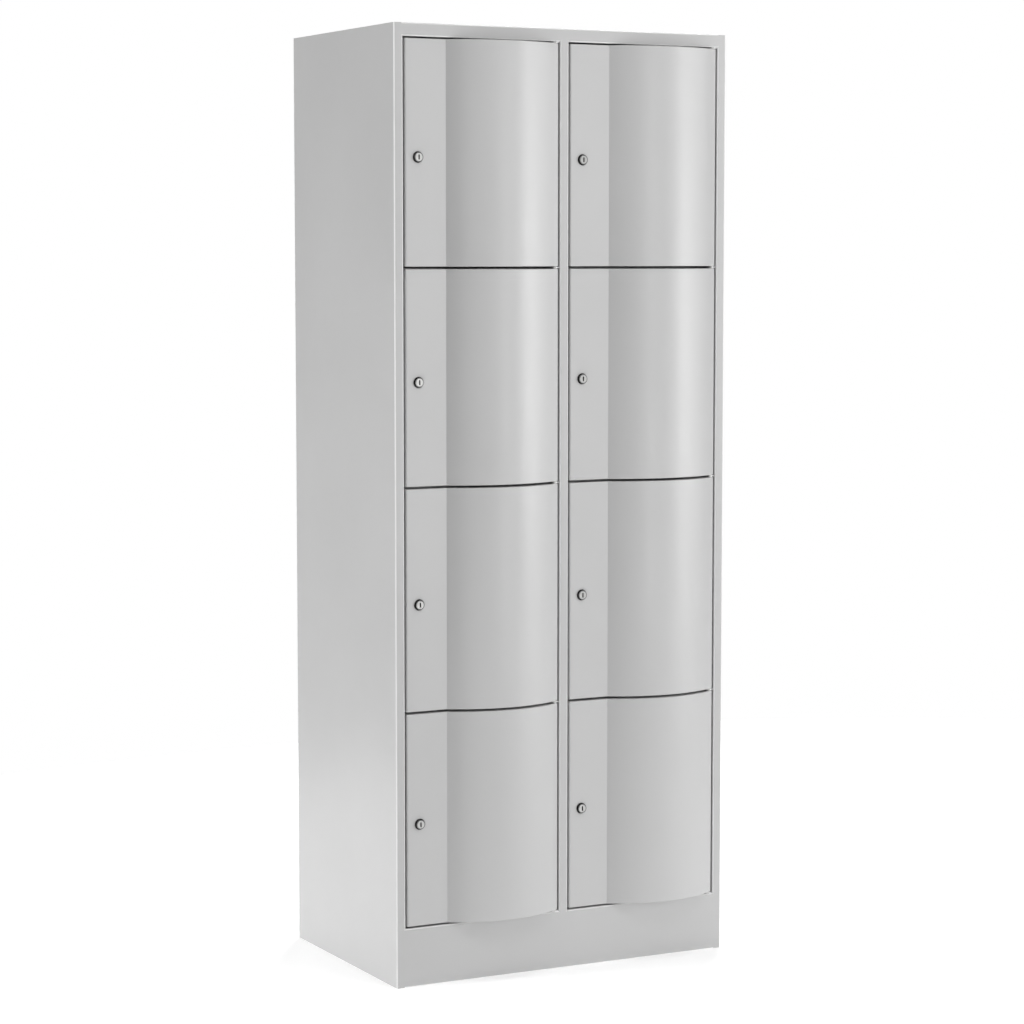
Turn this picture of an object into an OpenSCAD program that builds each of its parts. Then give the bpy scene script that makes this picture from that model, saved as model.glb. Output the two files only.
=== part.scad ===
// Coin operated locker: a sheet steel cabinet with two columns of four compartments.
// Each compartment has a hinged door with a bowed front, and a coin deposit lock behind its flat lock strip.
// The origin is on the floor at the middle of the footprint: +X is the viewer's right, -Y the front, +Z up.

/* [Cabinet] */
// Width over the side panels
overall_w = 770; // [640:5:1000]
// Depth from the front of the door bows to the rivet heads on the back
overall_d = 540; // [430:5:700]
// Height of the plinth face under the bottom doors
plinth_h = 121.5; // [80:0.5:200]
// Height of the rail over the top doors
top_rail_h = 26.5; // [16:0.5:60]
// Width of the side stiles and the centre stile
stile_w = 20; // [16:1:30]
// Thickness of the cabinet's sheet steel
sheet = 1; // [0.8:0.1:1.2]
// Outside radius of the visible bends
bend_r = 3; // [2:0.5:4]
// Depth of the stiles' return behind the frame face
return_d = 28; // [28:0.1:34]
// Width of the lip that each door closes against
stop_lip_w = 12; // [10:0.1:15]
// Width of the flanges that hold the back panel
rear_flange_w = 20; // [16:1:30]
// Width of the plinth's flange on the floor
foot_flange_w = 30; // [20:1:50]

/* [Compartments] */
// Depth of the folded front edge of each compartment floor
floor_lip_h = 22; // [15:1:35]
// Depth of the folded sides of each compartment floor
floor_flange_h = 15; // [10:1:25]

/* [Doors] */
// Height of the first and third door from the top
tall_door_h = 453; // [300:1:600]
// Height of the second and fourth door from the top
short_door_h = 437; // [300:1:600]
// Gap between one door and the next above it
door_gap = 5; // [5:0.1:7]
// Gap between a door and the stiles beside it
side_gap = 3.5; // [3:0.1:5]
// Thickness of the doors' sheet steel
door_sheet = 1.2; // [1:0.1:1.5]
// How far the lock strip lies behind the frame face
door_set_back = 2; // [1:0.5:4]
// Depth of the doors' returns
door_d = 22; // [18:0.5:22]
// Width of the flat lock strip
strip_w = 92; // [86:1:110]
// How far the bow stands in front of the lock strip
bow_rise = 38; // [25:1:50]
// Outside radius of the doors' upright edges
door_edge_r = 3; // [2:0.5:4]
// Width of the lips folded in from the returns
door_lip_w = 8; // [5:1:9]

/* [Hinges] */
// Distance from the stile's edge to the hinge axis
hinge_inset = 11; // [11:0.5:14]
// Distance from the frame face back to the hinge axis
hinge_back = 4; // [3.5:0.5:4.5]
// Radius of the hinge pins
hinge_pin_r = 2.5; // [2:0.1:2.6]
// Wall of the nylon bushes
bush_wall = 1.05; // [0.9:0.05:1.1]
// Radius of the bushes' flange
bush_flange_r = 5; // [4.5:0.1:5.5]
// Thickness of the bushes' flange
bush_flange_t = 1.2; // [1:0.1:1.2]
// Thickness of the hinge brackets
bracket_t = 2; // [1.6:0.1:2]
// Radius of the brackets' free end
bracket_end_r = 5.5; // [5:0.1:6]

/* [Lock] */
// Distance from the door's free edge to the lock axis
lock_inset = 30; // [28:1:34]
// Distance from the door's middle down to the lock axis
lock_drop = 8.5; // [0:0.5:30]
// Radius of the barrel that shows on the strip
barrel_r = 11.25; // [10.5:0.25:12]
// How far the barrel stands out of the strip
barrel_proud = 5; // [2:0.5:8]
// Radius of the barrel's front edge, where its collar has tapered in
barrel_face_r = 9.5; // [9:0.1:10.5]
// Radius of the key plug
plug_r = 8; // [6:0.1:8.5]
// Height of the keyway
keyway_h = 9; // [7:0.5:10]
// Width of the keyway
keyway_w = 2.2; // [1.8:0.1:3]
// Travel of the bolt
bolt_throw = 12; // [10:0.5:12]
// Thickness of the bolt
bolt_t = 8; // [6:0.5:8]
// Width of the lock case
case_w = 72; // [70:1:78]
// Height of the lock case above the lock axis
case_up = 34; // [30:1:50]
// Height of the lock case below the lock axis
case_down = 78; // [76:1:100]
// Wall of the lock case and its cover
case_wall = 2.4; // [2:0.1:3]
// Radius of the corners of the lock case and its cover
case_r = 6; // [4:0.5:8]
// Height of the coin slot
coin_slot_h = 26; // [24:0.5:28]
// Width of the coin slot
coin_slot_w = 2.8; // [2.4:0.1:3.4]

/* [Fixings] */
// Radius of the two wall fixing holes in the back panel
wall_hole_r = 4.5; // [3:0.5:6]
// Distance from the top of the cabinet down to the wall fixing holes
wall_hole_drop = 60; // [45:1:120]
// Radius of the rivets in the back panel
rivet_r = 1.6; // [1.2:0.1:2.4]
// Number of rivets on each side
rivets_per_side = 7; // [4:1:12]

/* [Hidden] */
$fn = 64;

// Clearances
run_clear = 0.05;
slide_clear = 0.3;
barrel_clear = 0.3;
plug_clear = 0.08;
stud_clear = 0.3;
buffer_clear = 0.3;
lip_clear = 3.5;
floor_clear = 2;
bolt_lip_clear = 1.5;
cover_clear = 3.2;

// How far a cut runs past a face, and how far two shapes that join overlap
over = 1;

// Columns and tiers
columns = ["left", "right"];
tiers = ["top", "upper", "lower", "bottom"];
door_heights = [tall_door_h, short_door_h, tall_door_h, short_door_h];
last_tier = len(tiers) - 1;
end_gap = (door_gap + bracket_t) / 2;
doors_h = 2 * (tall_door_h + short_door_h) + last_tier * door_gap + 2 * end_gap;
overall_h = plinth_h + doors_h + top_rail_h;
opening_top = overall_h - top_rail_h;
opening_w = (overall_w - 3 * stile_w) / 2;
door_w = opening_w - 2 * side_gap;
half_w = overall_w / 2;

// Depths, measured from the frame face backwards
rivet_head_h = 1.2;
rivet_head_r = 2 * rivet_r;
bow_front = bow_rise - door_set_back;
body_d = overall_d - bow_front - rivet_head_h;
frame_y = bow_front - overall_d / 2;
floor_front = return_d + sheet + floor_clear;
back_inside = body_d - 2 * sheet;
floor_back = back_inside - sheet;

// Where the rail and the plinth meet the side stiles
rail_half = half_w - stile_w + bend_r;

// The bow of a door in plan: an arc from the strip to the hinge edge
bow_half = (door_w - strip_w) / 2;
bow_r = (bow_half * bow_half + bow_rise * bow_rise) / (2 * bow_rise);
bow_u = strip_w + bow_half;
bow_v = bow_r - bow_rise;
corner_u = door_w - door_edge_r;
corner_bite = 0.05;
corner_v = bow_v - sqrt(pow(bow_r - door_edge_r + corner_bite, 2) - pow(corner_u - bow_u, 2));
bow_lap = 5;

// Hinge
hinge_u = door_w + side_gap - hinge_inset;
hinge_v = hinge_back - door_set_back;
bush_r = hinge_pin_r + run_clear + bush_wall;
bush_past = 1.5;
pin_past = 4;
bracket_root = [bend_r + 0.5, return_d - 4];
bracket_shoulder = 0.8 * bracket_end_r;

// Lock, measured from the lock axis and from the strip's outer face
case_left = stop_lip_w - side_gap + lip_clear - lock_inset;
case_right = case_left + case_w;
case_floor = door_sheet + case_wall;
guide_t = 2.4;
barrel_back = 18;
collar_edge = 0.8;
keyway_end = barrel_back - 6;

// Crank and drive pin of the plug
crank_t = 3;
crank_rim = 0.5;
drive_pin_r = 2;
drive_slot_clear = 0.45;
drive_offset = bolt_throw / 2;
drive_r = drive_offset * sqrt(2);
crank_r = drive_r + drive_pin_r + crank_rim;
slot_half = drive_pin_r + drive_slot_clear;

// Bolt
bolt_rim = 3.4;
bolt_end = case_left + 0.2;
bolt_front = return_d + sheet - door_set_back + bolt_lip_clear;
bolt_back = bolt_front + bolt_t;
bolt_low = -8;
bolt_high = drive_r + slot_half + bolt_rim;
guide_back = bolt_back + 1.5;
case_back = guide_back + cover_clear;
notch_low = 7;
notch_high = 18;
notch_h = 4.5;

// Coin slot and chute
coin_u = case_right - 12;
coin_slot_low = -20;
coin_guide_t = 1.4;
chute_drop = 2;
bolt_tail = coin_u - 12;
guide_right = bolt_tail + 4;

// Coin lever
lever_t = 5;
lever_front = bolt_front + 1.5;
lever_pivot = [-6, -24];
lever_pin_r = 2.5;
lever_post_r = 4;
lever_arm_h = 5;
lever_reach = coin_u + 4;
lever_swing = 12;
lever_back = lever_front + lever_t;
lever_rise = (lever_reach - lever_pivot.x) * sin(lever_swing);
lever_stop = [coin_u - 14, coin_u - 10];
nose_low = 12;
nose_high = 18;
nose_gap = 1.5;

// Coin cup and the window behind it
cup_edge = 4;
cup_w = 42;
cup_h = 22;
cup_d = 13.4;
cup_wall = 2;
cup_r = 4;
cup_low = cup_edge - case_down;
cup_u = case_right - 30;
window_h = 26;
window_low = cup_low + cup_edge;

// Studs that carry the lock case
stud_r = 2;
stud_len = 7;
stud_edge = 6;
stud_u = case_right - stud_edge;
stud_places = [[stud_u, case_up - stud_edge], [stud_u, stud_edge - case_down]];

// Buffers
buffer_r = 3.5;
buffer_edge = 45;

door_pieces = ["door", "lock_case", "lock_cover", "lock_plug", "lock_bolt", "coin_lever"];

// Left edge of a column's opening
function column_x(c) = c == 0 ? stile_w - half_w : stile_w / 2;

// Lower edge of a tier's doors
function door_z(t) = t == last_tier ? plinth_h + end_gap : door_z(t + 1) + door_heights[t + 1] + door_gap;

// Middle of the hinge bracket above tier t, and below the last tier
function gap_z(t) =
  t > last_tier ? door_z(last_tier) - door_gap / 2 : door_z(t) + door_heights[t] + door_gap / 2;

// Heights of the rivets on one side of the back panel
function rivet_z(n) = overall_h * (n + 0.5) / rivets_per_side;

// Moves from the frame face at floor level
module at_frame() {
  translate([0, frame_y, 0]) children();
}

// Moves from the free lower corner of a door's outer face
module at_door(c, t) {
  translate([column_x(c) + side_gap, frame_y + door_set_back, door_z(t)]) children();
}

// Moves from a door's lock axis on the strip's outer face
module at_lock(c, t) {
  at_door(c, t) translate([lock_inset, 0, door_heights[t] / 2 - lock_drop]) children();
}

// A box between two corners
module block(low, high) {
  translate(low) cube(high - low);
}

// A rectangle between two corners
module panel(low, high) {
  polygon([low, [high.x, low.y], high, [low.x, high.y]]);
}

// A rod along Y between two depths
module rod(r, front, back) {
  translate([0, front, 0]) rotate([-90, 0, 0]) cylinder(r = r, h = back - front);
}

// A rectangle with round corners between two corners
module rounded(low, high, r) {
  panel([low.x + r, low.y], [high.x - r, high.y]);
  panel([low.x, low.y + r], [high.x, high.y - r]);
  for (x = [low.x + r, high.x - r], y = [low.y + r, high.y - r]) translate([x, y]) circle(r);
}

// Extrudes a section in X and Z along Y, from one depth to another
module along_y(front, back) {
  translate([0, back, 0]) rotate([90, 0, 0]) linear_extrude(back - front) children();
}

// A quarter bend of cabinet sheet about a point, in the quadrant that the two signs give
module bend(centre, sx, sy) {
  translate(centre) intersection() {
    difference() {
      circle(bend_r);
      circle(bend_r - sheet);
    }
    translate([min(0, sx * bend_r), min(0, sy * bend_r)]) square(bend_r);
  }
}

// Extrudes a section in Y and Z along X, from one place to another
module along_x(from, to) {
  translate([from, 0, 0]) rotate([90, 0, 90]) linear_extrude(to - from) children();
}

// The rivet holes or rivet shanks on both sides
module each_rivet() {
  for (side = [-1, 1], n = [0 : rivets_per_side - 1])
    translate([side * (half_w - rear_flange_w / 2), 0, rivet_z(n)]) children();
}

// A side panel seen from its outer face: wall, front corner, stile face and rear flange
module side_section() {
  panel([0, bend_r], [sheet, body_d]);
  panel([0, body_d - sheet], [rear_flange_w, body_d]);
  bend([bend_r, bend_r], -1, -1);
  panel([bend_r, 0], [stile_w - bend_r, sheet]);
}

// The folded edge beside the doors, with the stop lip on the lock side
module stile_edge(with_lip) {
  bend([stile_w - bend_r, bend_r], 1, -1);
  panel([stile_w - sheet, bend_r], [stile_w, return_d + sheet]);
  if (with_lip) panel([stile_w - sheet, return_d], [stile_w + stop_lip_w, return_d + sheet]);
}

module side_panel(with_lip) {
  difference() {
    translate([-half_w, frame_y, 0]) {
      linear_extrude(overall_h) side_section();
      translate([0, 0, plinth_h]) linear_extrude(opening_top - plinth_h) stile_edge(with_lip);
    }
    at_frame() each_rivet() rod(rivet_r + run_clear, back_inside, body_d + over);
  }
}

module left_side_panel() {
  color("#c6c8c7") side_panel(true);
}

module right_side_panel() {
  color("#c6c8c7") mirror([1, 0, 0]) side_panel(false);
}

// The cut that lets the centre stile's face run into the rail and the plinth
module stile_notch(low, high) {
  block([-stile_w / 2, -over, low], [stile_w / 2, return_d + over, high]);
}

module top_section() {
  low = opening_top;
  high = overall_h;
  panel([bend_r, high - sheet], [body_d - sheet, high]);
  bend([bend_r, high - bend_r], -1, 1);
  panel([0, low + bend_r], [sheet, high - bend_r]);
  bend([bend_r, low + bend_r], -1, -1);
  panel([bend_r, low], [return_d, low + sheet]);
}

module top_panel() {
  flange_half = half_w - rear_flange_w;
  plate_half = half_w - sheet;
  color("#cbcdcc") at_frame() {
    difference() {
      along_x(-rail_half, rail_half) top_section();
      stile_notch(opening_top - over, opening_top + bend_r);
    }
    for (side = [0, 1]) mirror([side, 0, 0]) {
      block([rail_half, sheet, overall_h - sheet], [half_w - bend_r, body_d - sheet, overall_h]);
      block([rail_half, bend_r, overall_h - sheet], [plate_half, body_d - sheet, overall_h]);
    }
    block([-flange_half, body_d - sheet, overall_h - rear_flange_w], [flange_half, body_d, overall_h]);
  }
}

module back_panel() {
  plate_half = half_w - sheet;
  hole_x = (opening_w + stile_w) / 2;
  color("#bfc1c0") at_frame() difference() {
    block([-plate_half, back_inside, 0], [plate_half, body_d - sheet, overall_h - sheet]);
    each_rivet() rod(rivet_r + run_clear, back_inside - over, body_d);
    for (side = [-1, 1])
      translate([side * hole_x, 0, overall_h - wall_hole_drop]) rod(wall_hole_r, back_inside - over, body_d);
  }
}

// The centre stile in plan: a channel with a stop lip for the right column
module centre_stile_section() {
  half = stile_w / 2;
  panel([bend_r - half, 0], [half - bend_r, sheet]);
  bend([bend_r - half, bend_r], -1, -1);
  bend([half - bend_r, bend_r], 1, -1);
  panel([-half, bend_r], [sheet - half, return_d + sheet]);
  panel([half - sheet, bend_r], [half, return_d + sheet]);
  panel([half - sheet, return_d], [half + stop_lip_w, return_d + sheet]);
}

module centre_partition() {
  wall = sheet / 2;
  stile_low = plinth_h - bend_r;
  stile_high = opening_top + bend_r;
  color("#c6c8c7") at_frame() {
    translate([0, 0, stile_low]) linear_extrude(stile_high - stile_low) centre_stile_section();
    translate([0, 0, stile_high - sheet]) linear_extrude(sheet) panel([-wall, 0], [wall, return_d]);
    block([-wall, sheet / 2, plinth_h], [wall, back_inside, opening_top]);
    block([-wall, bend_r, opening_top - over], [wall, back_inside, overall_h - sheet]);
    block([-wall, floor_back, plinth_h], [rear_flange_w, back_inside, overall_h - sheet]);
  }
}

module plinth_section() {
  panel([0, bend_r], [sheet, plinth_h - bend_r]);
  bend([bend_r, plinth_h - bend_r], -1, 1);
  panel([bend_r, plinth_h - sheet], [return_d, plinth_h]);
  bend([bend_r, bend_r], -1, -1);
  panel([bend_r, 0], [foot_flange_w, sheet]);
}

module plinth_panel() {
  color("#cbcdcc") at_frame() difference() {
    along_x(-rail_half, rail_half) plinth_section();
    stile_notch(plinth_h - bend_r, plinth_h + over);
  }
}

// One compartment floor: a tray turned upside down, with its front and sides folded down
module compartment_floor(c, z) {
  left = c == 0 ? sheet - half_w : sheet / 2;
  right = c == 0 ? -sheet / 2 : half_w - sheet;
  block([left, floor_front, z - sheet], [right, floor_back, z]);
  block([left, floor_front, z - floor_lip_h], [right, floor_front + sheet, z]);
  block([left, floor_front, z - floor_flange_h], [left + sheet, floor_back, z]);
  block([right - sheet, floor_front, z - floor_flange_h], [right, floor_back, z]);
}

module compartment_floors() {
  color("#bfc1c0") at_frame() for (c = [0, 1], t = [1 : last_tier + 1]) compartment_floor(c, gap_z(t));
}

// Moves from the stile's edge at the hinge side of a column, in the middle of a bracket
module at_hinge(c, t) {
  translate([column_x(c) + opening_w, frame_y, gap_z(t)]) children();
}

// A hinge bracket in plan: a tab from the stile's return with a round end about the hinge axis
module bracket_plan() {
  difference() {
    union() {
      translate([-hinge_inset, hinge_back]) circle(bracket_end_r);
      polygon([
        [-hinge_inset, hinge_back - bracket_shoulder],
        [0, bracket_root[0]],
        [0, bracket_root[1]],
        [-hinge_inset, hinge_back + bracket_shoulder]
      ]);
    }
    translate([-hinge_inset, hinge_back]) circle(hinge_pin_r + run_clear);
  }
}

module hinge_brackets() {
  color("#d8dad8") for (c = [0, 1], t = [0 : last_tier + 1])
    at_hinge(c, t) translate([0, 0, -bracket_t / 2]) linear_extrude(bracket_t) bracket_plan();
}

module hinge_pins() {
  reach = door_gap / 2 + door_sheet + pin_past;
  color("#9a9c9e") for (c = [0, 1], t = [0 : last_tier + 1]) {
    down = t > last_tier ? bracket_t / 2 : reach;
    up = t == 0 ? bracket_t / 2 : reach;
    at_hinge(c, t) translate([-hinge_inset, hinge_back, -down]) cylinder(r = hinge_pin_r, h = down + up);
  }
}

// One flanged bush standing on a bracket
module hinge_bush() {
  top = door_gap / 2 + door_sheet + bush_past;
  foot = bracket_t / 2;
  difference() {
    union() {
      translate([0, 0, foot]) cylinder(r = bush_flange_r, h = bush_flange_t);
      translate([0, 0, foot]) cylinder(r = bush_r, h = top - foot);
    }
    cylinder(r = hinge_pin_r + run_clear, h = top + over);
  }
}

module hinge_bushes() {
  color("#e8e8e2") for (c = [0, 1], t = [0 : last_tier + 1])
    at_hinge(c, t) translate([-hinge_inset, hinge_back, 0]) {
      if (t > 0) hinge_bush();
      if (t <= last_tier) mirror([0, 0, 1]) hinge_bush();
    }
}

module door_buffers() {
  buffer_v = door_d + buffer_clear;
  stop_v = return_d - door_set_back;
  buffer_u = door_lip_w / 2;
  color("#3a3a3a") for (c = [0, 1], t = [0 : last_tier], z = [buffer_edge, door_heights[t] - buffer_edge])
    at_door(c, t) translate([buffer_u, 0, z]) rod(buffer_r, buffer_v, stop_v);
}

module back_rivets() {
  color("#b4b6b6") at_frame() each_rivet() {
    rod(rivet_r, back_inside, body_d + rivet_head_h);
    rod(rivet_head_r, body_d, body_d + rivet_head_h);
  }
}

// A door in plan, drawn in by a thickness: the strip and the bow in front, the returns behind
module door_plan(inset, back) {
  edge_r = door_edge_r - inset;
  tangent_u = bow_u + (corner_u - bow_u) * (bow_r - inset) / (bow_r - door_edge_r);
  translate([door_edge_r, door_edge_r]) circle(edge_r);
  translate([corner_u, corner_v]) circle(edge_r);
  panel([door_edge_r, inset], [corner_u, back]);
  panel([inset, door_edge_r], [door_edge_r + over, back]);
  panel([corner_u - over, corner_v], [door_w - inset, back]);
  intersection() {
    translate([bow_u, bow_v]) circle(bow_r - inset);
    panel([strip_w - bow_lap, -bow_rise - over], [tangent_u, corner_v + over]);
  }
}

// The folded sheet of a door in plan, with the lips at the ends of its returns
module door_section() {
  difference() {
    door_plan(0, door_d);
    door_plan(door_sheet, door_d + over);
  }
  panel([0, door_d - door_sheet], [door_lip_w, door_d]);
  panel([door_w - door_lip_w, door_d - door_sheet], [door_w, door_d]);
}

module door(c, t) {
  h = door_heights[t];
  lock_z = h / 2 - lock_drop;
  color("#d0d2d1") at_door(c, t) {
    difference() {
      union() {
        linear_extrude(h) door_section();
        linear_extrude(door_sheet) door_plan(0, door_d);
        translate([0, 0, h - door_sheet]) linear_extrude(door_sheet) door_plan(0, door_d);
        block([0, door_d - door_sheet, 0], [door_w, door_d, door_lip_w]);
        block([0, door_d - door_sheet, h - door_lip_w], [door_w, door_d, h]);
      }
      translate([hinge_u, hinge_v, -over]) cylinder(r = bush_r + run_clear, h = h + 2 * over);
      translate([lock_inset, 0, lock_z]) rod(barrel_r + barrel_clear, -over, door_sheet + over);
    }
    for (place = stud_places)
      translate([lock_inset + place.x, 0, lock_z + place.y])
        rod(stud_r, door_sheet / 2, door_sheet + stud_len);
  }
}

// The hollow box of a lock case, open at the back
module case_box() {
  low = [case_left, -case_down];
  high = [case_right, case_up];
  wall = [case_wall, case_wall];
  difference() {
    along_y(door_sheet, case_back) rounded(low, high, case_r);
    along_y(case_floor, case_back + over) rounded(low + wall, high - wall, case_r - case_wall);
  }
}

// The barrel, with the tapered collar that shows on the strip
module lock_barrel() {
  rod(barrel_r, -collar_edge, barrel_back);
  translate([0, -collar_edge, 0]) rotate([90, 0, 0])
    cylinder(r1 = barrel_r, r2 = barrel_face_r, h = barrel_proud - collar_edge);
}

// The ribs that guide the bolt above and below; the lower one leaves room for the lever's nose
module bolt_guides() {
  inside = case_left + case_wall / 2;
  upper = bolt_high + slide_clear;
  lower = bolt_low - slide_clear;
  block([inside, door_sheet, upper], [guide_right, guide_back, upper + guide_t]);
  block([inside, bolt_front - guide_t, lower - guide_t], [notch_low - guide_t, guide_back, lower]);
  block([notch_high + guide_t, door_sheet, lower - guide_t], [guide_right, guide_back, lower]);
}

// The post that the coin lever turns on, the stop under its arm, and the coin chute that its end rises into
module coin_guides() {
  arm_low = lever_pivot.y - lever_arm_h / 2 - slide_clear;
  chute_half = coin_slot_w / 2;
  chute_low = coin_slot_low + chute_drop;
  chute_high = chute_low + coin_slot_h;
  chute_side = chute_half + coin_guide_t;
  lever_high = lever_pivot.y + lever_rise + lever_arm_h / 2 + slide_clear;
  translate([lever_pivot.x, 0, lever_pivot.y]) {
    rod(lever_pin_r, door_sheet, guide_back);
    rod(lever_post_r, door_sheet, lever_front - slide_clear);
  }
  block([lever_stop[0], door_sheet, arm_low - guide_t], [lever_stop[1], guide_back, arm_low]);
  difference() {
    for (near = [chute_half, -chute_side])
      block([coin_u + near, door_sheet, chute_low], [coin_u + near + coin_guide_t, case_back, chute_high]);
    block(
      [coin_u - chute_side - over, lever_front - slide_clear, chute_low - over],
      [coin_u + chute_side + over, lever_back + slide_clear, lever_high]
    );
  }
}

module lock_case(c, t) {
  color("#26272a") at_lock(c, t) difference() {
    union() {
      case_box();
      bolt_guides();
      coin_guides();
      lock_barrel();
    }
    rod(plug_r + plug_clear, -barrel_proud - over, barrel_back + over);
    block(
      [case_left - over, bolt_front - slide_clear, bolt_low - slide_clear],
      [case_left + case_wall + over, bolt_back + slide_clear, bolt_high + slide_clear]
    );
    for (place = stud_places) translate([place.x, 0, place.y]) rod(stud_r + stud_clear, 0, case_floor + over);
  }
}

// The open cup that the coin drops back into
module coin_cup() {
  low = [cup_u - cup_w / 2, cup_low];
  high = [cup_u + cup_w / 2, cup_low + cup_h];
  wall = [cup_wall, cup_wall];
  mouth = [-cup_wall, cup_r];
  front = case_back + case_wall;
  difference() {
    along_y(front - case_wall / 2, front + cup_d) rounded(low, high, cup_r);
    along_y(front - case_wall, front + cup_d - cup_wall) rounded(low + wall, high + mouth, cup_r - cup_wall);
  }
}

module lock_cover(c, t) {
  window_half = cup_w / 2 - cup_wall;
  color("#2c2d30") at_lock(c, t) {
    difference() {
      along_y(case_back, case_back + case_wall)
        rounded([case_left, -case_down], [case_right, case_up], case_r);
      block(
        [coin_u - coin_slot_w / 2, case_back - over, coin_slot_low],
        [coin_u + coin_slot_w / 2, case_back + case_wall + over, coin_slot_low + coin_slot_h]
      );
      block(
        [cup_u - window_half, case_back - over, window_low],
        [cup_u + window_half, case_back + case_wall + over, window_low + window_h]
      );
    }
    coin_cup();
  }
}

module lock_plug(c, t) {
  crank_front = barrel_back + slide_clear;
  color("#c9c7c0") at_lock(c, t) difference() {
    union() {
      rod(plug_r, -barrel_proud - slide_clear, crank_front + over);
      rod(crank_r, crank_front, crank_front + crank_t);
      translate([drive_offset, 0, drive_offset]) rod(drive_pin_r, crank_front, bolt_back - over);
    }
    block([-keyway_w / 2, -barrel_proud - over, -keyway_h / 2], [keyway_w / 2, keyway_end, keyway_h / 2]);
  }
}

module lock_bolt(c, t) {
  slot_low = drive_offset - slot_half;
  slot_high = drive_r + slot_half;
  slot_right = drive_offset + slot_half;
  color("#b9bbbd") at_lock(c, t) difference() {
    block([bolt_end, bolt_front, bolt_low], [bolt_tail, bolt_back, bolt_high]);
    block([slot_low, bolt_front - over, slot_low], [slot_right, bolt_back + over, slot_high]);
    block(
      [notch_low, bolt_front - over, bolt_low - over],
      [notch_high, bolt_back + over, bolt_low + notch_h]
    );
  }
}

module coin_lever(c, t) {
  arm_low = lever_pivot.y - lever_arm_h / 2;
  arm_high = arm_low + lever_arm_h;
  color("#c2a35a") at_lock(c, t) difference() {
    union() {
      translate([lever_pivot.x, 0, lever_pivot.y]) rod(lever_arm_h, lever_front, lever_back);
      block([lever_pivot.x, lever_front, arm_low], [lever_reach, lever_back, arm_high]);
      block([nose_low, lever_front, arm_low], [nose_high, lever_back, bolt_low - nose_gap]);
    }
    translate([lever_pivot.x, 0, lever_pivot.y])
      rod(lever_pin_r + run_clear, lever_front - over, lever_back + over);
  }
}

left_side_panel();
right_side_panel();
top_panel();
back_panel();
centre_partition();
plinth_panel();
compartment_floors();
hinge_brackets();
hinge_pins();
hinge_bushes();
door_buffers();
back_rivets();
for (c = [0, 1], t = [0 : last_tier]) {
  place = str("_", columns[c], "_", tiers[t]);
  door(c, t);
  lock_case(c, t);
  lock_cover(c, t);
  lock_plug(c, t);
  lock_bolt(c, t);
  coin_lever(c, t);
}
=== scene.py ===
import math
import bmesh
import bpy
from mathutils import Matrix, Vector


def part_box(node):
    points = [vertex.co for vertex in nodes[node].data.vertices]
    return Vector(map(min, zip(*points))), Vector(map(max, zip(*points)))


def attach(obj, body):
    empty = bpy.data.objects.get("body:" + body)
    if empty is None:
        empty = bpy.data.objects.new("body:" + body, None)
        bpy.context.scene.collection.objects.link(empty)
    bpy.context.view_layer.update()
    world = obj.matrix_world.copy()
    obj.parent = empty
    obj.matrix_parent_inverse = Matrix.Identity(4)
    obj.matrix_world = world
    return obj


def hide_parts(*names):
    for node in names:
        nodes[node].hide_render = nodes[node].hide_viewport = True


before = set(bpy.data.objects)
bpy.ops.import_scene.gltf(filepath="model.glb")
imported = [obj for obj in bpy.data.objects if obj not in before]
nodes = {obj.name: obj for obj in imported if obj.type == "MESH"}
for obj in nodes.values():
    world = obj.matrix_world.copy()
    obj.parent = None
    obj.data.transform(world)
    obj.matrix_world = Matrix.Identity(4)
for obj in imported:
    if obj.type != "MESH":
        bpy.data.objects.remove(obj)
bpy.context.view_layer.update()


# Side panels: each is one sheet of cold rolled steel, folded round the front corner into the stile and
# round the back into the flange that takes the rivets. The welded cabinet is powder coated light grey,
# which leaves a fine orange peel and a satin gloss, and a pale painted highlight lies along its folds.
mm = 0.001
cabinet_light = (0.578, 0.578, 0.578, 1)
cabinet_dark = (0.553, 0.553, 0.553, 1)
# A pale painted highlight for the folds of the sheets.
painted_fold_highlight = (0.860, 0.860, 0.860, 1)
cabinet_satin = (0.28, 0.33)
peel_depth = 0.006 * mm
wave_depth = 0.6 * mm
flat_angle = 6
fold_angle = 24
noise_low = 0.3
noise_high = 0.7


def add_node(tree, kind, **inputs):
    """Adds a shader node and sets its inputs, either to a value or to another node's output."""
    made = tree.nodes.new(kind)
    for name, value in inputs.items():
        socket = made.inputs[name.replace("_", " ")]
        if isinstance(value, bpy.types.NodeSocket):
            tree.links.new(value, socket)
        else:
            socket.default_value = value
    return made


def new_finish(name):
    """An empty material: its tree, its surface shader, and the place on the piece in metres."""
    finish = bpy.data.materials.new(name)
    finish.use_nodes = True
    tree = finish.node_tree
    tree.nodes.clear()
    surface = tree.nodes.new("ShaderNodeBsdfPrincipled")
    out = tree.nodes.new("ShaderNodeOutputMaterial")
    tree.links.new(surface.outputs["BSDF"], out.inputs["Surface"])
    place = tree.nodes.new("ShaderNodeTexCoord").outputs["Object"]
    return finish, tree, surface, place


def grain(tree, place, scale, detail=2.0):
    """Noise from 0 to 1 with about scale lumps to the metre."""
    noise = add_node(tree, "ShaderNodeTexNoise", Vector=place, Scale=scale, Detail=detail)
    return noise.outputs["Fac"]


def between(tree, share, low, high):
    """Turns noise, which keeps mostly to the middle of its range, into a number from low to high."""
    span = add_node(tree, "ShaderNodeMapRange", Value=share, To_Min=low, To_Max=high)
    span.inputs["From Min"].default_value = noise_low
    span.inputs["From Max"].default_value = noise_high
    return span.outputs["Result"]


def two_tone(tree, share, first, second):
    """Goes from the first colour to the second as a share goes from 0 to 1."""
    ramp = tree.nodes.new("ShaderNodeValToRGB")
    tree.links.new(share, ramp.inputs["Fac"])
    ramp.color_ramp.elements[0].color = first
    ramp.color_ramp.elements[1].color = second
    return ramp.outputs["Color"]


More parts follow.
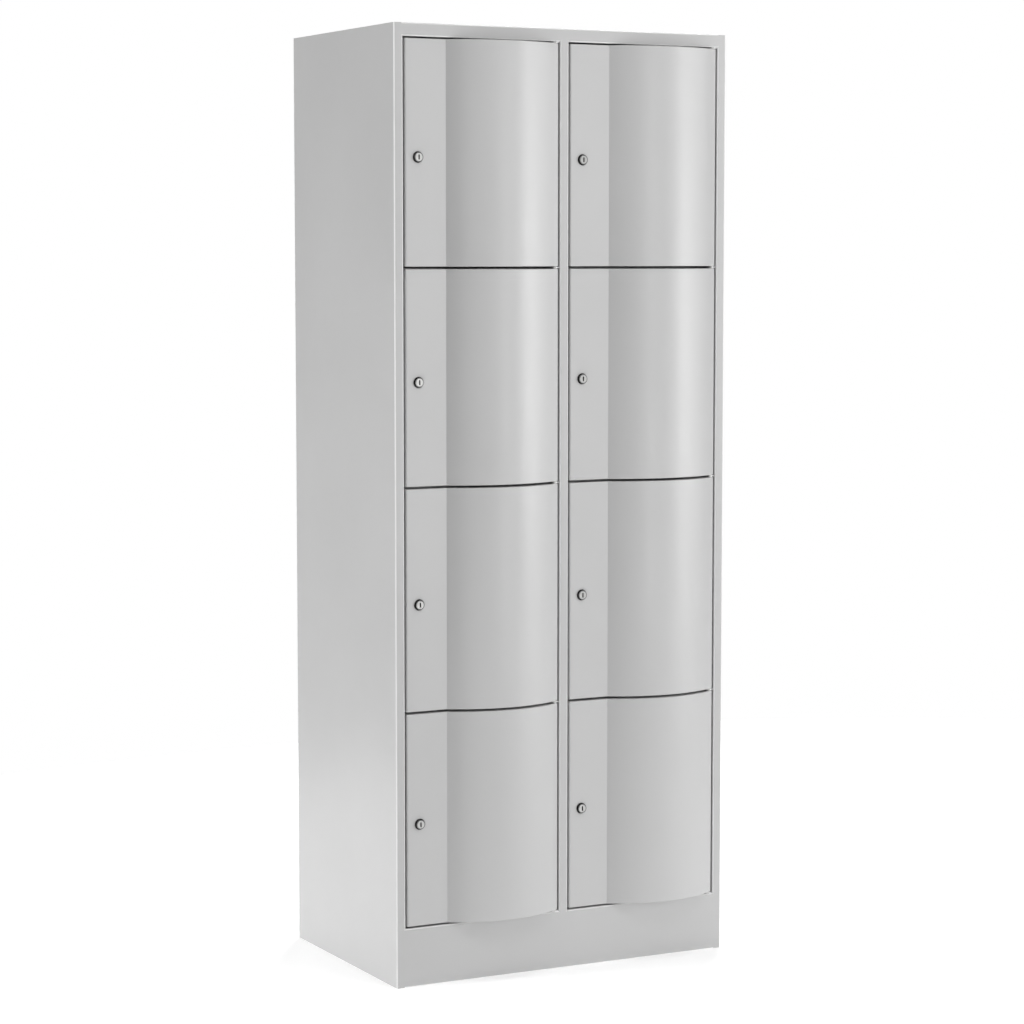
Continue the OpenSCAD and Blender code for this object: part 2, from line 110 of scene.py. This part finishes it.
def relief(tree, heights):
    """Lays reliefs over each other: heights holds (share, depth in metres), the broadest first."""
    normal = None
    for share, depth in heights:
        bump = add_node(tree, "ShaderNodeBump", Height=share, Strength=1.0, Distance=depth)
        if normal:
            tree.links.new(normal, bump.inputs["Normal"])
        normal = bump.outputs["Normal"]
    return normal


def fold_highlight_mask(tree):
    """Where the painted fold highlight goes: 0 on the flat faces of a folded sheet and 1 on a fold."""
    facing = tree.nodes.new("ShaderNodeTexCoord").outputs["Normal"]
    sizes = tree.nodes.new("ShaderNodeVectorMath")
    sizes.operation = "ABSOLUTE"
    tree.links.new(facing, sizes.inputs[0])
    largest = None
    for size in add_node(tree, "ShaderNodeSeparateXYZ", Vector=sizes.outputs["Vector"]).outputs:
        if largest:
            larger = tree.nodes.new("ShaderNodeMath")
            larger.operation = "MAXIMUM"
            tree.links.new(largest, larger.inputs[0])
            tree.links.new(size, larger.inputs[1])
            size = larger.outputs["Value"]
        largest = size
    flat = math.cos(math.radians(flat_angle))
    folded = math.cos(math.radians(fold_angle))
    share = add_node(tree, "ShaderNodeMapRange", Value=largest, From_Min=flat, From_Max=folded)
    return share.outputs["Result"]


def powder_coat(name, light, dark, satin, fold_highlight_colour=None):
    """Baked powder coat with orange peel: satin gives the lowest and highest roughness.

    Where a fold highlight colour is given, it is mixed in over the folds as a painted highlight."""
    finish, tree, surface, place = new_finish(name)
    clouds = between(tree, grain(tree, place, scale=3.0, detail=3.0), 0.0, 1.0)
    tone = two_tone(tree, clouds, dark, light)
    # Mixes a painted highlight into the colour over the folds.
    if fold_highlight_colour:
        highlight_over_folds = tree.nodes.new("ShaderNodeMix")
        highlight_over_folds.data_type = "RGBA"
        tree.links.new(fold_highlight_mask(tree), highlight_over_folds.inputs["Factor"])
        tree.links.new(tone, highlight_over_folds.inputs["A"])
        highlight_over_folds.inputs["B"].default_value = fold_highlight_colour
        tone = highlight_over_folds.outputs["Result"]
    tree.links.new(tone, surface.inputs["Base Color"])
    gloss = between(tree, grain(tree, place, scale=35.0, detail=4.0), *satin)
    tree.links.new(gloss, surface.inputs["Roughness"])
    sheet_waves = grain(tree, place, scale=5.0, detail=0.0)
    peel = grain(tree, place, scale=420.0, detail=0.0)
    normal = relief(tree, [(sheet_waves, wave_depth), (peel, peel_depth)])
    tree.links.new(normal, surface.inputs["Normal"])
    return finish


def give_finish(finish, *names):
    """Puts a finish on CAD nodes."""
    for name in names:
        for slot in nodes[name].material_slots:
            slot.material = finish


# The cabinet's coat carries the painted fold highlight.
cabinet_paint = powder_coat("cabinet_paint", cabinet_light, cabinet_dark, cabinet_satin, painted_fold_highlight)
give_finish(cabinet_paint, "left_side_panel", "right_side_panel")


# Plinth, top panel and centre partition: folded from the same sheet, spot welded between the sides so
# that rail, stiles and plinth make one flush front frame, and coated together with the sides.
give_finish(cabinet_paint, "plinth_panel", "top_panel", "centre_partition")


# Compartment floors and back panel: thin inner sheets in the same coat. The floors are trays turned
# upside down and welded to the walls; the back is laid in behind them.
give_finish(cabinet_paint, "compartment_floors", "back_panel")


# Back rivets: blind rivets of plated steel with low domed heads, in one row up each side of the back.
# They hold the back panel to the flanges of the side panels.
rivets_per_side = 7
rivet_r = 1.6 * mm
rivet_head_r = 3.2 * mm
rivet_head_h = 1.2 * mm
rivet_rim_h = 0.24 * mm
flange_middle = 10 * mm
dome_steps = 5


def plated_metal(name, light, dark, polish, marks):
    """Bright metal: polish gives the lowest and highest roughness, marks the depth of fine scratches."""
    finish, tree, surface, place = new_finish(name)
    surface.inputs["Metallic"].default_value = 1.0
    patches = between(tree, grain(tree, place, scale=220.0, detail=3.0), 0.0, 1.0)
    tree.links.new(two_tone(tree, patches, dark, light), surface.inputs["Base Color"])
    gloss = between(tree, grain(tree, place, scale=900.0), *polish)
    tree.links.new(gloss, surface.inputs["Roughness"])
    scratches = grain(tree, place, scale=2500.0, detail=1.0)
    tree.links.new(relief(tree, [(scratches, marks)]), surface.inputs["Normal"])
    return finish


def turn(mesh, outline, at, along, sides=32):
    """Adds a turned solid to a mesh: outline holds (radius, distance along the axis) from end to end."""
    across = along.orthogonal().normalized()
    beside = along.cross(across)
    rings = []
    for radius, distance in outline:
        centre = at + along * distance
        angles = [2 * math.pi * n / sides for n in range(sides if radius else 1)]
        spokes = [across * math.cos(a) + beside * math.sin(a) for a in angles]
        rings.append([mesh.verts.new(centre + radius * spoke) for spoke in spokes])
    for near, far in zip(rings, rings[1:]):
        for n in range(sides):
            corners = [near[n % len(near)], near[(n + 1) % len(near)]]
            corners += [far[(n + 1) % len(far)], far[n % len(far)]]
            mesh.faces.new(dict.fromkeys(corners))


def dome(radius, height, start):
    """The outline of a domed end, from its rim at start out to its middle."""
    turns = [math.radians(90 * n / dome_steps) for n in range(dome_steps)]
    rim = [(radius * math.cos(a), start + height * math.sin(a)) for a in turns]
    return rim + [(0, start + height)]


def make_piece(name, mesh, finish, body, sharp=35, at=Vector()):
    """Makes a piece of a mesh, smooth except where it turns sharply, and lets it ride on a body."""
    bmesh.ops.recalc_face_normals(mesh, faces=mesh.faces)
    data = bpy.data.meshes.new(name)
    mesh.to_mesh(data)
    mesh.free()
    data.polygons.foreach_set("use_smooth", [True] * len(data.polygons))
    data.set_sharp_from_angle(angle=math.radians(sharp))
    data.materials.append(finish)
    piece = bpy.data.objects.new(name, data)
    piece.location = at
    bpy.context.scene.collection.objects.link(piece)
    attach(piece, body)
    return piece


bright_steel = plated_metal(
    "bright_steel",
    light=(0.66, 0.66, 0.67, 1),
    dark=(0.54, 0.54, 0.56, 1),
    polish=(0.26, 0.40),
    marks=0.004 * mm,
)
rivet_low, rivet_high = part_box("back_rivets")
cabinet_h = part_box("left_side_panel")[1].z
head_y = rivet_high.y - rivet_head_h
shank_end = rivet_low.y - head_y
rivet_mesh = bmesh.new()
rivet_outline = [(0, shank_end), (rivet_r, shank_end), (rivet_r, 0), (rivet_head_r, 0)]
rivet_outline += dome(rivet_head_r, rivet_head_h - rivet_rim_h, rivet_rim_h)
for side in (-1, 1):
    for n in range(rivets_per_side):
        rivet_z = cabinet_h * (n + 0.5) / rivets_per_side
        rivet_x = side * (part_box("right_side_panel")[1].x - flange_middle)
        turn(rivet_mesh, rivet_outline, Vector((rivet_x, head_y, rivet_z)), Vector((0, 1, 0)))
rivets = make_piece("back_rivets_domed", rivet_mesh, bright_steel, "cabinet")
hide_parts("back_rivets")


# Hinges: a steel tab welded into each gap between the doors and coated with the cabinet, a plated pin
# through it, and a white nylon bush in the door above and below.
def moulded(name, light, dark, gloss, texture, depth):
    """Moulded plastic or rubber: texture gives the lumps of its grain to the metre, depth their depth."""
    finish, tree, surface, place = new_finish(name)
    flow = between(tree, grain(tree, place, scale=60.0, detail=3.0), 0.0, 1.0)
    tree.links.new(two_tone(tree, flow, dark, light), surface.inputs["Base Color"])
    shine = between(tree, grain(tree, place, scale=400.0), *gloss)
    tree.links.new(shine, surface.inputs["Roughness"])
    tree.links.new(relief(tree, [(grain(tree, place, texture), depth)]), surface.inputs["Normal"])
    return finish


white_nylon = moulded(
    "white_nylon",
    light=(0.78, 0.78, 0.75, 1),
    dark=(0.70, 0.70, 0.67, 1),
    gloss=(0.35, 0.48),
    texture=1500.0,
    depth=0.01 * mm,
)
give_finish(cabinet_paint, "hinge_brackets")
give_finish(bright_steel, "hinge_pins")
give_finish(white_nylon, "hinge_bushes")


# Door buffers: black rubber buttons with a rounded nose, glued to the stop lips two to a door, so that
# the doors close without a bang.
buffer_nose = 1.4 * mm
buffer_r = 3.5 * mm
buffer_inset = 4 * mm
buffer_edge = 45 * mm
buffer_sides = 24
columns = ("left", "right")
tiers = ("top", "upper", "lower", "bottom")
places = [f"{column}_{tier}" for column in columns for tier in tiers]
buffer_rubber = moulded(
    "buffer_rubber",
    light=(0.045, 0.045, 0.046, 1),
    dark=(0.028, 0.028, 0.029, 1),
    gloss=(0.62, 0.80),
    texture=1200.0,
    depth=0.03 * mm,
)
buffer_low, buffer_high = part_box("door_buffers")
buffer_len = buffer_high.y - buffer_low.y
buffer_mesh = bmesh.new()
buffer_outline = [(0, 0), (buffer_r, 0)] + dome(buffer_r, buffer_nose, buffer_len - buffer_nose)
for place in places:
    door_low, door_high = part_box(f"door_{place}")
    for buffer_z in (door_low.z + buffer_edge, door_high.z - buffer_edge):
        seat = Vector((door_low.x + buffer_inset, buffer_high.y, buffer_z))
        turn(buffer_mesh, buffer_outline, seat, Vector((0, -1, 0)), buffer_sides)
buffers = make_piece("door_buffers_rounded", buffer_mesh, buffer_rubber, "cabinet")
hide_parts("door_buffers")


# Doors: steel trays with a flat lock strip at the free edge, which is trimmed to clear the stile, and a
# rolled bow from there to the hinge edge. The returns have a lip folded in all round, the strip has a
# punched lock hole and two studs welded behind it, and the coat is a shade lighter than the cabinet's.
door_sheet = 1.2 * mm
strip_w = 92 * mm
bow_rise = 38 * mm
edge_r = 3 * mm
valley_r = 1.5 * mm
free_trim = 1.2 * mm
cap_r = 1.5 * mm
lip_w = 8 * mm
hinge_hole_r = 3.65 * mm
hinge_from_edge = 7.5 * mm
hinge_behind_strip = 2 * mm
lock_hole_r = 11.55 * mm
lock_patch = 15 * mm
support = 1.5 * mm
bow_steps = 48
edge_steps = 6
stud_r = 2 * mm
stud_len = 7 * mm
stud_chamfer = 0.5 * mm
stud_sides = 16
stud_places = ((48 * mm, 28 * mm), (48 * mm, -72 * mm))
door_light = (0.588, 0.588, 0.588, 1)
door_dark = (0.568, 0.568, 0.568, 1)
door_satin = (0.28, 0.33)
touching = 0.001 * mm
door_paint = powder_coat("door_paint", door_light, door_dark, door_satin)


def plan_normal(turned):
    """The outward direction in plan, turned from the front towards the free edge by an angle."""
    return Vector((-math.sin(turned), -math.cos(turned)))


def round_stretch(centre, radius, start, end, steps):
    """Points of an arc in plan with the outward direction at each."""
    turns = [start + (end - start) * n / steps for n in range(steps + 1)]
    return [(centre + radius * plan_normal(a), plan_normal(a)) for a in turns]


def door_plan(width, depth, lock_u):
    """The outer face of a door in plan: points with their outward directions, from back to back."""
    bow_half = (width - strip_w) / 2
    bow_r = (bow_half**2 + bow_rise**2) / (2 * bow_rise)
    bow_centre = Vector((strip_w + bow_half, bow_r - bow_rise))
    corner_u = width - edge_r
    corner_v = bow_centre.y - math.sqrt((bow_r - edge_r) ** 2 - (corner_u - bow_centre.x) ** 2)
    bow_end = math.asin((corner_u - bow_centre.x) / (bow_r - edge_r))
    valley_u = bow_centre.x - math.sqrt((bow_r + valley_r) ** 2 - (bow_centre.y + valley_r) ** 2)
    bow_start = math.asin((bow_centre.x - valley_u) / (bow_r + valley_r))
    free_side, front, hinge_side = math.pi / 2, 0, -math.pi / 2
    valley_turns = [bow_start * n / edge_steps for n in range(edge_steps)]
    valley = Vector((valley_u, -valley_r))
    free_u = free_trim + edge_r
    flat_u = (free_u + support, lock_u - lock_patch, lock_u + lock_patch, valley_u - support)
    free_v = (depth, depth - support, edge_r + support)
    plan = [(Vector((free_trim, v)), plan_normal(free_side)) for v in free_v]
    plan += round_stretch(Vector((free_u, edge_r)), edge_r, free_side, front, edge_steps)
    plan += [(Vector((u, 0)), plan_normal(front)) for u in flat_u]
    plan += [(valley - valley_r * plan_normal(a), plan_normal(a)) for a in valley_turns]
    plan += round_stretch(bow_centre, bow_r, bow_start, -bow_end, bow_steps)
    plan += round_stretch(Vector((corner_u, corner_v)), edge_r, -bow_end, hinge_side, edge_steps)[1:]
    returns = (corner_v + support, depth - support, depth)
    plan += [(Vector((width, v)), plan_normal(hinge_side)) for v in returns]
    return plan


def ring_edges(mesh, corners):
    """The edges round a closed row of corners, made where they aren't there yet."""
    pairs = list(zip(corners, corners[1:] + corners[:1]))
    return [mesh.edges.get(pair) or mesh.edges.new(pair) for pair in pairs]


def fill(mesh, *rings):
    """Closes the flat face inside the first ring of corners and outside the others."""
    edges = [edge for ring in rings for edge in ring_edges(mesh, ring)]
    bmesh.ops.triangle_fill(mesh, use_beauty=True, edges=edges)


def hole(mesh, at, across, beside, radius, sides=40):
    """A ring of corners for a round hole or rim."""
    angles = [2 * math.pi * n / sides for n in range(sides)]
    spokes = [across * math.cos(a) + beside * math.sin(a) for a in angles]
    return [mesh.verts.new(at + radius * spoke) for spoke in spokes]


def door_tray(low, high, lock):
    """The outer face of a door with its caps and lips, before it gets its thickness."""
    mesh = bmesh.new()
    corner = Vector((low.x, low.y + bow_rise, low.z))
    width, height = high.x - low.x, high.z - low.z
    depth = high.y - corner.y
    lock_u, lock_h = lock.x - low.x, lock.z - low.z
    plan = door_plan(width, depth, lock_u)
    turns = [math.radians(90 * n / edge_steps) for n in range(edge_steps + 1)]
    cap = [(cap_r - cap_r * math.sin(a), cap_r - cap_r * math.cos(a)) for a in turns]
    straight = (cap_r + support, lock_h - lock_patch, lock_h + lock_patch, height - cap_r - support)
    levels = cap[::-1] + [(z, 0) for z in straight] + [(height - z, inset) for z, inset in cap]
    rows = []
    for z, inset in levels:
        points = [point - inset * normal for point, normal in plan]
        for end in (0, -1):
            points[end].y = depth
        rows.append([mesh.verts.new(corner + Vector((p.x, p.y, z))) for p in points])
    patch = []
    for vert in [vert for row in rows for vert in row]:
        from_lock = vert.co - lock
        if all(abs(abs(away) - lock_patch) < touching for away in (from_lock.x, from_lock.z)):
            patch.append(vert)
    for lower, upper in zip(rows, rows[1:]):
        for n in range(len(plan) - 1):
            quad = [lower[n], lower[n + 1], upper[n + 1], upper[n]]
            if not all(vert in patch for vert in quad):
                mesh.faces.new(quad)
    x, y, z = Vector((1, 0, 0)), Vector((0, 1, 0)), Vector((0, 0, 1))
    lock_ring = hole(mesh, Vector((lock.x, corner.y, lock.z)), x, z, lock_hole_r)
    fill(mesh, [patch[0], patch[1], patch[3], patch[2]], lock_ring)
    hinge = corner + Vector((width - hinge_from_edge, hinge_behind_strip, 0))
    for row, level in ((rows[0], 0), (rows[-1], height)):
        fill(mesh, row, hole(mesh, hinge + level * z, x, y, hinge_hole_r))
    back = [row[0] for row in rows] + [row[-1] for row in reversed(rows)]
    far_u, far_w = width - lip_w, height - lip_w
    lip_corners = [(lip_w, lip_w), (lip_w, far_w), (far_u, far_w), (far_u, lip_w)]
    lips = [mesh.verts.new(corner + Vector((u, depth, w))) for u, w in lip_corners]
    fill(mesh, back, lips)
    return mesh


def thicken(mesh, thickness):
    """Gives the outer face of a sheet its thickness, inwards."""
    bmesh.ops.recalc_face_normals(mesh, faces=mesh.faces)
    data = bpy.data.meshes.new("sheet")
    mesh.to_mesh(data)
    mesh.free()
    blank = bpy.data.objects.new("sheet", data)
    bpy.context.scene.collection.objects.link(blank)
    sheet = blank.modifiers.new("sheet", "SOLIDIFY")
    sheet.thickness = thickness
    sheet.offset = -1
    sheet.use_even_offset = True
    shape = blank.evaluated_get(bpy.context.evaluated_depsgraph_get()).to_mesh()
    made = bmesh.new()
    made.from_mesh(shape)
    bpy.data.objects.remove(blank)
    bpy.data.meshes.remove(data)
    return made


stud_neck = stud_len - stud_chamfer
stud_outline = [(0, 0), (stud_r, 0), (stud_r, stud_neck)]
stud_outline += [(stud_r - stud_chamfer, stud_len), (0, stud_len)]
for place in places:
    door_low, door_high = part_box(f"door_{place}")
    plug_low, plug_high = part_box(f"lock_plug_{place}")
    lock_axis = (plug_low + plug_high) / 2
    door_mesh = thicken(door_tray(door_low, door_high, lock_axis), door_sheet)
    strip_y = door_low.y + bow_rise
    for stud_x, stud_z in stud_places:
        stud_seat = Vector((lock_axis.x + stud_x, strip_y + door_sheet, lock_axis.z + stud_z))
        turn(door_mesh, stud_outline, stud_seat, Vector((0, 1, 0)), stud_sides)
    door = make_piece(f"door_{place}_skin", door_mesh, door_paint, f"door_{place}")
    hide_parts(f"door_{place}")


# Lock cases: moulded black plastic boxes on the studs behind the lock strip. The barrel's tapered black
# collar comes through the strip, and a dull plated ring closes it round the key plug.
collar_proud = 4.8 * mm
plate_blend = 0.1 * mm
case_gloss = (0.34, 0.44)
case_grain_depth = 0.012 * mm
case_shine = 0.15
case_black = (0.008, 0.008, 0.008, 1)
ring_grey = (0.20, 0.20, 0.20, 1)


def lock_case_finish(name):
    """Grained black plastic, with a dull plate on the front face of the collar."""
    finish, tree, surface, place = new_finish(name)
    depth = add_node(tree, "ShaderNodeSeparateXYZ", Vector=place).outputs["Y"]
    front = add_node(tree, "ShaderNodeMapRange", Value=depth, To_Min=1.0, To_Max=0.0)
    front.inputs["From Min"].default_value = strip_y - collar_proud - plate_blend
    front.inputs["From Max"].default_value = strip_y - collar_proud
    on_ring = front.outputs["Result"]
    tree.links.new(two_tone(tree, on_ring, case_black, ring_grey), surface.inputs["Base Color"])
    gloss = between(tree, grain(tree, place, scale=500.0), *case_gloss)
    tree.links.new(gloss, surface.inputs["Roughness"])
    tree.links.new(on_ring, surface.inputs["Metallic"])
    surface.inputs["Specular IOR Level"].default_value = case_shine
    mould_grain = grain(tree, place, scale=1600.0)
    tree.links.new(relief(tree, [(mould_grain, case_grain_depth)]), surface.inputs["Normal"])
    return finish


lock_case_black = lock_case_finish("lock_case_black")
give_finish(lock_case_black, *[f"lock_case_{place}" for place in places])


# Key plugs: turned brass with a nickel plate, a bevelled face and an upright keyway. The crank disc and
# its drive pin behind the barrel draw the bolt.
plug_r = 8 * mm
plug_bevel = 0.35 * mm
keyway_w = 2.2 * mm
keyway_h = 9 * mm
keyway_d = 12 * mm
lead_in = 0.4 * mm
crank_behind_strip = 18.3 * mm
crank_t = 3 * mm
pin_r = 2 * mm
pin_offset = 6 * mm
pin_sides = 24
plug_sides = 48
plug_sharp = 25
nickel_light = (0.60, 0.60, 0.59, 1)
nickel_dark = (0.50, 0.50, 0.49, 1)
nickel_polish = (0.28, 0.38)
ring_depth = 0.004 * mm


def turned_nickel(name):
    """Nickel plate over turned brass: fine rings round the axis, with a little tarnish."""
    finish, tree, surface, place = new_finish(name)
    surface.inputs["Metallic"].default_value = 1.0
    patches = between(tree, grain(tree, place, scale=180.0, detail=3.0), 0.0, 1.0)
    tree.links.new(two_tone(tree, patches, nickel_dark, nickel_light), surface.inputs["Base Color"])
    gloss = between(tree, grain(tree, place, scale=700.0), *nickel_polish)
    tree.links.new(gloss, surface.inputs["Roughness"])
    rings = add_node(tree, "ShaderNodeTexWave", Vector=place, Scale=700.0, Distortion=0.6)
    rings.wave_type = "RINGS"
    rings.rings_direction = "Y"
    tree.links.new(relief(tree, [(rings.outputs["Fac"], ring_depth)]), surface.inputs["Normal"])
    return finish


def key_plug(back, crank_r, pin_end):
    """A key plug about its own axis: y counts from its face, to the crank's back and to the pin's end."""
    mesh = bmesh.new()
    y = Vector((0, 1, 0))
    face = hole(mesh, Vector(), Vector((1, 0, 0)), Vector((0, 0, 1)), plug_r - plug_bevel, plug_sides)
    slot_rings = []
    for flare, depth in ((lead_in, 0), (0, lead_in), (0, keyway_d)):
        half_w, half_h = keyway_w / 2 + flare, keyway_h / 2 + flare
        slot_corners = [(-half_w, -half_h), (half_w, -half_h), (half_w, half_h), (-half_w, half_h)]
        slot_rings.append([mesh.verts.new((u, depth, w)) for u, w in slot_corners])
    mouth, throat, root = slot_rings
    fill(mesh, face, mouth)
    inside = [mesh.faces.new(root)]
    for near, far in ((mouth, throat), (throat, root)):
        for n in range(len(near)):
            inside.append(mesh.faces.new((near[n], near[n - 1], far[n - 1], far[n])))
    # The keyway's walls take the second finish, a near-black painted shade.
    for wall in inside:
        wall.material_index = 1
    crank_front = back - crank_t
    outline = [(plug_r - plug_bevel, 0), (plug_r, plug_bevel), (plug_r, crank_front)]
    outline += [(crank_r, crank_front), (crank_r, back), (0, back)]
    turn(mesh, outline, Vector(), y, plug_sides)
    pin_seat = Vector((pin_offset, back, pin_offset))
    pin_len = pin_end - back
    turn(mesh, [(0, 0), (pin_r, 0), (pin_r, pin_len), (0, pin_len)], pin_seat, y, pin_sides)
    bmesh.ops.remove_doubles(mesh, verts=mesh.verts, dist=touching)
    return mesh


nickel = turned_nickel("nickel")
# The keyway's inner walls are near black: painted shade for the deep slot, not the plug metal's own
# colour.
keyway_painted_shade = moulded(
    "keyway_painted_shade",
    light=(0.020, 0.020, 0.020, 1),
    dark=(0.010, 0.010, 0.010, 1),
    gloss=(0.55, 0.70),
    texture=2200.0,
    depth=0.01 * mm,
)
for place in places:
    plug_low, plug_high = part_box(f"lock_plug_{place}")
    plug_face = (plug_low + plug_high) / 2
    plug_face.y = plug_low.y
    plug_size = plug_high - plug_low
    crank_back = crank_behind_strip + crank_t + (strip_y - plug_low.y)
    plug_mesh = key_plug(crank_back, plug_size.x / 2, plug_size.y)
    plug = make_piece(
        f"lock_plug_{place}_turned", plug_mesh, nickel, f"plug_{place}", plug_sharp, plug_face
    )
    plug.data.materials.append(keyway_painted_shade)
    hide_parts(f"lock_plug_{place}")


# Bolts and coin levers: the bolts are sawn from bright steel bar and slide in the case; the levers are
# stamped brass, and let the bolt go only when a coin has lifted them.
lever_brass = plated_metal(
    "lever_brass",
    light=(0.62, 0.43, 0.16, 1),
    dark=(0.50, 0.34, 0.12, 1),
    polish=(0.28, 0.44),
    marks=0.006 * mm,
)
give_finish(bright_steel, *[f"lock_bolt_{place}" for place in places])
give_finish(lever_brass, *[f"coin_lever_{place}" for place in places])


# Lock covers: black moulded plates that close the cases at the back, with the coin slot and the cup
# that the coin drops back into.
lock_plastic = moulded(
    "lock_plastic",
    light=(0.030, 0.030, 0.032, 1),
    dark=(0.018, 0.018, 0.020, 1),
    gloss=(0.40, 0.55),
    texture=1400.0,
    depth=0.02 * mm,
)
give_finish(lock_plastic, *[f"lock_cover_{place}" for place in places])


# Studio floor: a round pale board that reaches well out in front of the locker and ends about two
# metres behind it. It is lit from below, a little more towards its far edge, so that it fades into the
# pale surround.
floor_r = 4.2
floor_centre = Vector((0.6, -1.6, 0))
floor_sides = 96
floor_light = (0.86, 0.86, 0.86, 1)
floor_dark = (0.84, 0.84, 0.84, 1)
floor_roughness = 0.7
white = (1, 1, 1, 1)
near_glow = 0.35
near_glow_y = -0.6
far_glow = 0.45
far_glow_y = 1.4
floor_mesh = bmesh.new()
floor_rim = hole(floor_mesh, floor_centre, Vector((1, 0, 0)), Vector((0, 1, 0)), floor_r, floor_sides)
floor_mesh.faces.new(floor_rim)
floor_data = bpy.data.meshes.new("studio_floor")
floor_mesh.to_mesh(floor_data)
floor_mesh.free()
floor = bpy.data.objects.new("studio_floor", floor_data)
bpy.context.scene.collection.objects.link(floor)
floor_board, floor_tree, floor_surface, floor_place = new_finish("floor_board")
floor_tone = two_tone(floor_tree, grain(floor_tree, floor_place, scale=2.0), floor_dark, floor_light)
floor_tree.links.new(floor_tone, floor_surface.inputs["Base Color"])
floor_surface.inputs["Roughness"].default_value = floor_roughness
floor_y = add_node(floor_tree, "ShaderNodeSeparateXYZ", Vector=floor_place).outputs["Y"]
floor_glow = add_node(floor_tree, "ShaderNodeMapRange", Value=floor_y, To_Min=near_glow, To_Max=far_glow)
floor_glow.inputs["From Min"].default_value = near_glow_y
floor_glow.inputs["From Max"].default_value = far_glow_y
floor_tree.links.new(floor_glow.outputs["Result"], floor_surface.inputs["Emission Strength"])
floor_surface.inputs["Emission Color"].default_value = white
floor_data.materials.append(floor_board)


# Studio light: a dim pale surround, a wide soft box far round to the right and two smaller ones before
# it for the gloss on the bows, one high in front, a slim one close in front for the locks, one for the
# left side and one behind. An even light from above keeps the floor pale.
overhead_strength = 0.8
overhead_spread = 20
surround_seen = 1.0
surround_glow = 0.05


def soft_box(name, at, target, width, height, watts):
    """A rectangular area light that faces a point and doesn't show itself."""
    light = bpy.data.lights.new(name, "AREA")
    light.shape = "RECTANGLE"
    light.size = width
    light.size_y = height
    light.energy = watts
    box = bpy.data.objects.new(name, light)
    box.location = at
    box.rotation_euler = (Vector(target) - Vector(at)).to_track_quat("-Z", "Y").to_euler()
    box.visible_camera = False
    bpy.context.scene.collection.objects.link(box)


soft_box("gloss_box", (4.64, -3.13, 2.0), (0, -0.2, 1.4), width=3.4, height=3.4, watts=63)
soft_box("low_box", (4.1, -3.6, 1.1), (0, -0.2, 1.2), width=1.8, height=1.8, watts=34)
soft_box("middle_box", (3.45, -3.9, 1.7), (0, -0.2, 1.4), width=1.2, height=2.0, watts=15)
soft_box("top_box", (0.0, -2.3, 3.6), (0, -0.2, 1.7), width=2.0, height=1.2, watts=35)
soft_box("front_box", (0.36, -1.68, 1.3), (-0.33, -0.23, 1.3), width=0.25, height=1.5, watts=2.9)
soft_box("left_box", (-5.2, 0.65, 1.7), (-0.4, 0, 1.1), width=1.0, height=2.2, watts=160)
soft_box("back_box", (2.4, 3.2, 3.4), (0, 0.2, 1.2), width=1.4, height=1.4, watts=100)
overhead = bpy.data.lights.new("overhead", "SUN")
overhead.energy = overhead_strength
overhead.angle = math.radians(overhead_spread)
bpy.context.scene.collection.objects.link(bpy.data.objects.new("overhead", overhead))

surround = bpy.data.worlds.new("surround")
surround.use_nodes = True
sky = surround.node_tree
sky.nodes.clear()
seen = add_node(sky, "ShaderNodeBackground", Color=white, Strength=surround_seen)
glow = add_node(sky, "ShaderNodeBackground", Color=white, Strength=surround_glow)
rays = sky.nodes.new("ShaderNodeLightPath")
pick = sky.nodes.new("ShaderNodeMixShader")
sky.links.new(rays.outputs["Is Camera Ray"], pick.inputs["Fac"])
sky.links.new(glow.outputs["Background"], pick.inputs[1])
sky.links.new(seen.outputs["Background"], pick.inputs[2])
sky_out = sky.nodes.new("ShaderNodeOutputWorld")
sky.links.new(pick.outputs["Shader"], sky_out.inputs["Surface"])
bpy.context.scene.world = surround
bpy.context.scene.view_settings.view_transform = "Standard"


# Camera: a long lens to the left of the locker, set up as for the photograph. It looks a little down, so
# that the whole locker stands in the picture.
camera_at = (-2.8411, -5.4792, 1.4949)
camera_yaw = 27.4095
camera_pitch = 5.122
focal_length = 101.703
sensor_w = 36
lens = bpy.data.cameras.new("photo_camera")
lens.sensor_width = sensor_w
lens.lens = focal_length
camera = bpy.data.objects.new("photo_camera", lens)
camera.location = camera_at
camera.rotation_euler = (math.radians(90 - camera_pitch), 0, math.radians(-camera_yaw))
bpy.context.scene.collection.objects.link(camera)
bpy.context.scene.camera = camera
